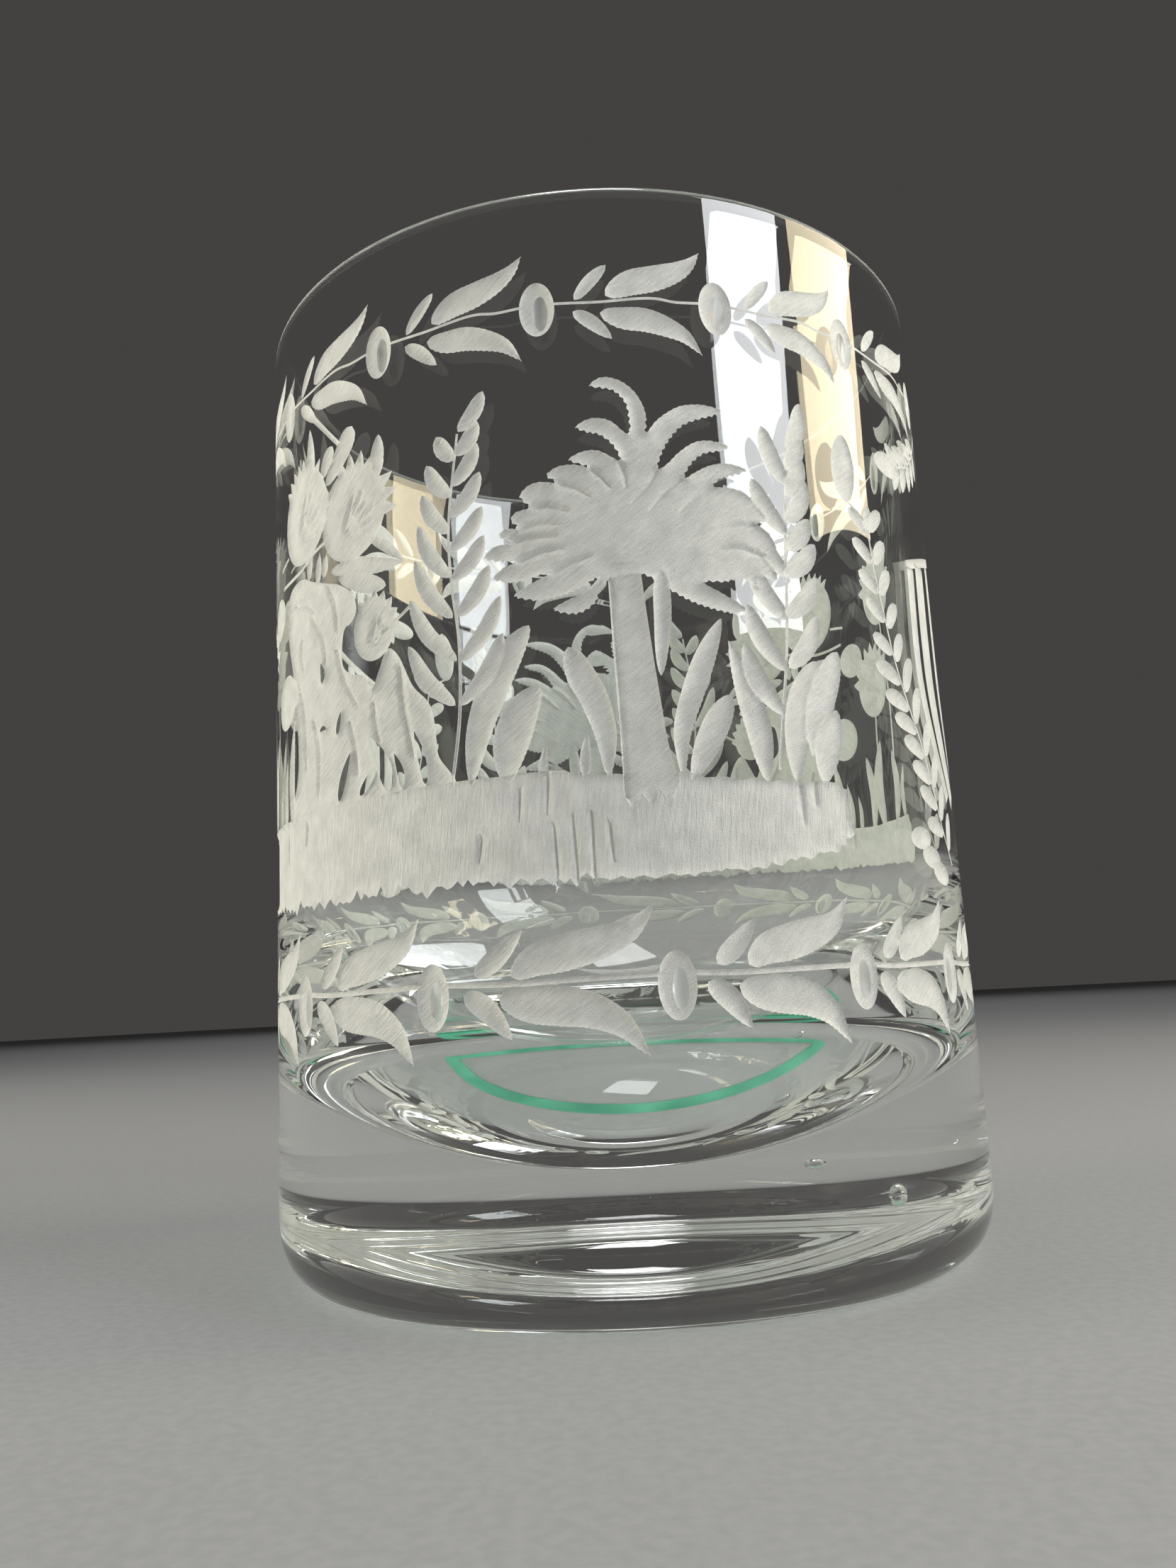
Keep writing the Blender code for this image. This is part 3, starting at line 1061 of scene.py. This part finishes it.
def cut_glass(name, angle, across, along, strength):
    """Frosted glass as the wheel leaves it: fine scratches at one angle over a fine grain.

    across and along are how many scratches go to 10 mm across and along them.
    """
    nodes = Nodes(bpy.data.materials.new(name))
    uv = nodes.place("UV")
    turned = nodes.add("ShaderNodeMapping", {"Vector": uv, "Rotation": (0, 0, -angle)})
    stretched = nodes.add("ShaderNodeMapping", {
        "Vector": turned.outputs[0], "Scale": (along, across, 1),
    })
    scratch = nodes.noise(stretched.outputs[0], 1.0, 4.0, Roughness=0.7)
    height = nodes.blend(0.3, scratch, nodes.noise(uv, 70.0, 3.0))
    tone = nodes.blend(0.35, height, nodes.noise(uv, 4.0, 3.0))
    normal = nodes.bump(height, strength, 0.00025)
    colour = nodes.ramp(tone, 0.30, (0.44, 0.445, 0.43), 0.70, (0.74, 0.74, 0.71))
    surface = nodes.add("ShaderNodeBsdfPrincipled", {
        "Base Color": colour, "Roughness": 0.5, "IOR": 1.5, "Normal": normal,
    })
    through = nodes.add("ShaderNodeBsdfTranslucent", {"Color": colour, "Normal": normal})
    frost = nodes.mix(0.3, surface.outputs[0], through.outputs[0])
    return nodes.finish(frost, (0.35, 0.35, 0.34, 1))


def half_polished_glass():
    """The beads' hollows, ground and then polished until light passes, though nothing is sharp."""
    nodes = Nodes(bpy.data.materials.new("half_polished_glass"))
    cloud = nodes.noise(nodes.place("UV"), 9.0, 3.0)
    clear = nodes.add("ShaderNodeBsdfPrincipled", {
        "Base Color": (0.9, 0.92, 0.91, 1),
        "Roughness": nodes.remap(cloud, 0.3, 0.7, 0.3, 0.4),
        "IOR": 1.52,
        "Transmission Weight": 1.0,
    })
    frost = nodes.add("ShaderNodeBsdfPrincipled", {
        "Base Color": (0.55, 0.56, 0.54, 1), "Roughness": 0.4,
    })
    share = nodes.remap(cloud, 0.3, 0.7, 0.3, 0.5)
    return nodes.finish(nodes.mix(share, clear.outputs[0], frost.outputs[0]), (0.8, 0.82, 0.81, 1))


def green_reflection_paint():
    """Painted reflection: the green that the foot shows, laid on the band in the foot as a mottled
    colour.
    """
    nodes = Nodes(bpy.data.materials.new("green_reflection_paint"))
    cloud = nodes.noise(nodes.place(), 120.0, 3.0)
    # Painted reflection: a mottled green in place of what the foot reflects.
    colour = nodes.ramp(cloud, 0.35, (0.05, 0.26, 0.17), 0.65, (0.12, 0.42, 0.30))
    surface = nodes.add("ShaderNodeBsdfPrincipled", {"Base Color": colour, "Roughness": 0.35})
    through = nodes.add("ShaderNodeBsdfTranslucent", {"Color": colour})
    streak = nodes.mix(0.4, surface.outputs[0], through.outputs[0])
    return nodes.finish(streak, (0.6, 0.8, 0.7, 1))


def pale_floor():
    nodes = Nodes(bpy.data.materials.new("pale_floor"))
    grain = nodes.noise(nodes.place(), 900.0, 2.0)
    colour = nodes.ramp(grain, 0.35, (0.195, 0.199, 0.206), 0.65, (0.215, 0.219, 0.226))
    surface = nodes.add("ShaderNodeBsdfPrincipled", {"Base Color": colour, "Roughness": 0.8})
    nodes.add("ShaderNodeOutputMaterial", {"Surface": surface.outputs[0]})
    return nodes.owner


# ==== Stage, light and camera ====

MIDDLE = Vector(((LOW.x + HIGH.x) / 2, (LOW.y + HIGH.y) / 2, (LOW.z + HIGH.z) / 2))


def floor():
    """A round, plain floor, far wider than the glass, just under its foot."""
    mesh = bmesh.new()
    bmesh.ops.create_circle(mesh, cap_ends=True, radius=4.0, segments=96)
    data = bpy.data.meshes.new("floor")
    mesh.to_mesh(data)
    mesh.free()
    data.materials.append(pale_floor())
    plane = bpy.data.objects.new("floor", data)
    plane.location.z = LOW.z - 0.0002
    bpy.context.collection.objects.link(plane)


def softbox(name, azimuth, elevation, distance, width, height, colour, watts):
    """A soft lamp facing the glass. Azimuth 0 is the camera's side and 90 the right."""
    a, e = math.radians(azimuth), math.radians(elevation)
    toward = Vector((math.sin(a) * math.cos(e), -math.cos(a) * math.cos(e), math.sin(e)))
    data = bpy.data.lights.new(name, "AREA")
    data.shape = "RECTANGLE"
    data.size, data.size_y = width, height
    data.color = colour
    data.energy = watts
    lamp = bpy.data.objects.new(name, data)
    lamp.location = MIDDLE + toward * distance
    lamp.rotation_euler = toward.to_track_quat("Z", "Y").to_euler()
    lamp.visible_camera = False
    bpy.context.collection.objects.link(lamp)
    return lamp


def studio():
    """Two tall windows of light on the right, which the wall reflects, and soft fill."""
    softbox("tall_white", 54, 31, 0.62, 0.24, 0.31, (0.96, 0.98, 1.0), 2.8)
    softbox("tall_warm", 87, 33, 0.62, 0.26, 0.25, (1.0, 0.86, 0.6), 1.7)
    softbox("overhead", 20, 88, 0.8, 0.24, 0.24, (1.0, 1.0, 1.0), 1.6)
    fill = [
        softbox("left_fill", -84, 15, 0.9, 0.5, 0.4, (1.0, 0.96, 0.85), 13.0),
        softbox("front_fill", 10, 18, 1.0, 0.5, 0.4, (0.97, 0.98, 1.0), 2.0),
        softbox("right_fill", 84, 15, 0.9, 0.5, 0.4, (1.0, 0.96, 0.88), 4.0),
        softbox("floor_fill", 180, 40, 2.0, 2.0, 1.2, (1.0, 1.0, 1.0), 13.0),
    ]
    for lamp in fill:
        lamp.visible_glossy = False
        lamp.visible_transmission = False
    world = bpy.data.worlds.new("studio")
    nodes = Nodes(world)
    colour = nodes.add("ShaderNodeBackground", {"Color": (0.057, 0.054, 0.052, 1)})
    nodes.add("ShaderNodeOutputWorld", {"Surface": colour.outputs[0]})
    bpy.context.scene.world = world


def camera():
    """A camera close by, a quarter of the way up the glass, tipped back a little."""
    height = HIGH.z - LOW.z
    back, up = 1.363 * height, 0.262 * height
    pitch, yaw, roll = (math.radians(a) for a in (10.2, -1.1, -3.0))
    forward = Vector((math.sin(yaw) * math.cos(pitch), math.cos(yaw) * math.cos(pitch),
                      math.sin(pitch)))
    right = Vector((math.cos(yaw), -math.sin(yaw), 0))
    turned = Matrix((right, right.cross(forward), -forward)).transposed().to_4x4()
    data = bpy.data.cameras.new("camera")
    data.sensor_width = 36.0
    data.lens = 27.7
    data.clip_start = 0.005
    eye = bpy.data.objects.new("camera", data)
    place = Matrix.Translation((MIDDLE.x, MIDDLE.y - back, LOW.z + up))
    eye.matrix_world = place @ turned @ Matrix.Rotation(roll, 4, "Z")
    bpy.context.collection.objects.link(eye)
    bpy.context.scene.camera = eye


# ==== The scene ====

materials = [
    polished_glass(),
    cut_glass("wheel_cut_glass", math.radians(36), 36.0, 5.0, 1.0),
    cut_glass("ground_glass", math.radians(84), 34.0, 4.5, 0.8),
    half_polished_glass(),
    # the painted green reflection in the foot
    green_reflection_paint(),
]
glass = engraved_glass(materials)
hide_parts("tumbler_glass")
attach(glass, "root")
floor()
studio()
camera()

cycles = bpy.context.scene.cycles
cycles.max_bounces = 24
cycles.transmission_bounces = 24
cycles.transparent_max_bounces = 24
cycles.glossy_bounces = 12
cycles.use_denoising = True
bpy.context.scene.view_settings.view_transform = "Standard"
